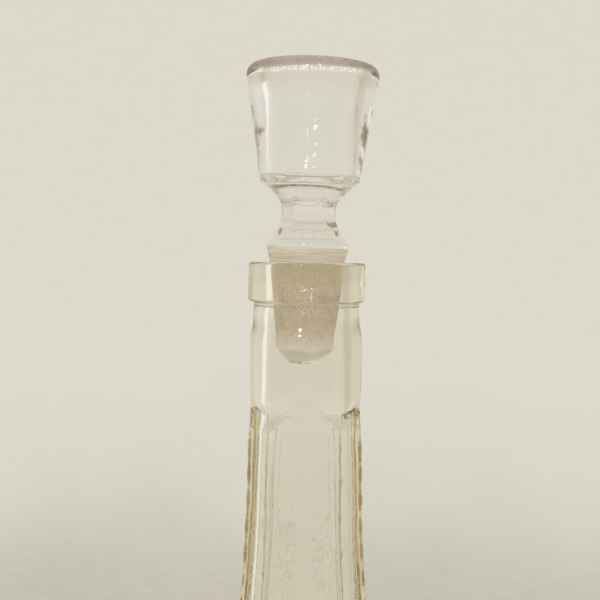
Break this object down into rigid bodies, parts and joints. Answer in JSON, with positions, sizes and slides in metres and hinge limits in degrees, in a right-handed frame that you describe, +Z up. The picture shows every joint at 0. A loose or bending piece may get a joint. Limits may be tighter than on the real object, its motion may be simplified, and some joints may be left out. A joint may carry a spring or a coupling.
{
  "type": "glass bottle with ground stopper",
  "caption": "Tall square glass bottle with wavy corded edges, a smooth round neck with a collar, and a ground lift-out stopper with a hollow tumbler-shaped head.",
  "frame": {"origin": "centre of the bottle's square base, on the surface that it stands on", "axes": "+Z up along the bottle's axis through the neck and mouth, +X and +Y square to the main faces, with the main front face towards -Y"},
  "size_m": [0.083, 0.083, 0.3205],
  "materials": {
    "straw_glass": "fire-polished moulded glass with a straw tint, worn and lightly stained",
    "clear_glass": "fire-polished clear glass with a faint lilac tint, plug ground to a speckled matt"
  },
  "bodies": {
    "bottle": {"bottle": "straw_glass"},
    "stopper": {"stopper": "clear_glass"}
  },
  "joints": [
    {"name": "stopper_lift", "type": "slide", "parent": "bottle", "child": "stopper", "axis": [0.0192, 0, 0.9998], "range_m": [0, 0.06]}
  ]
}
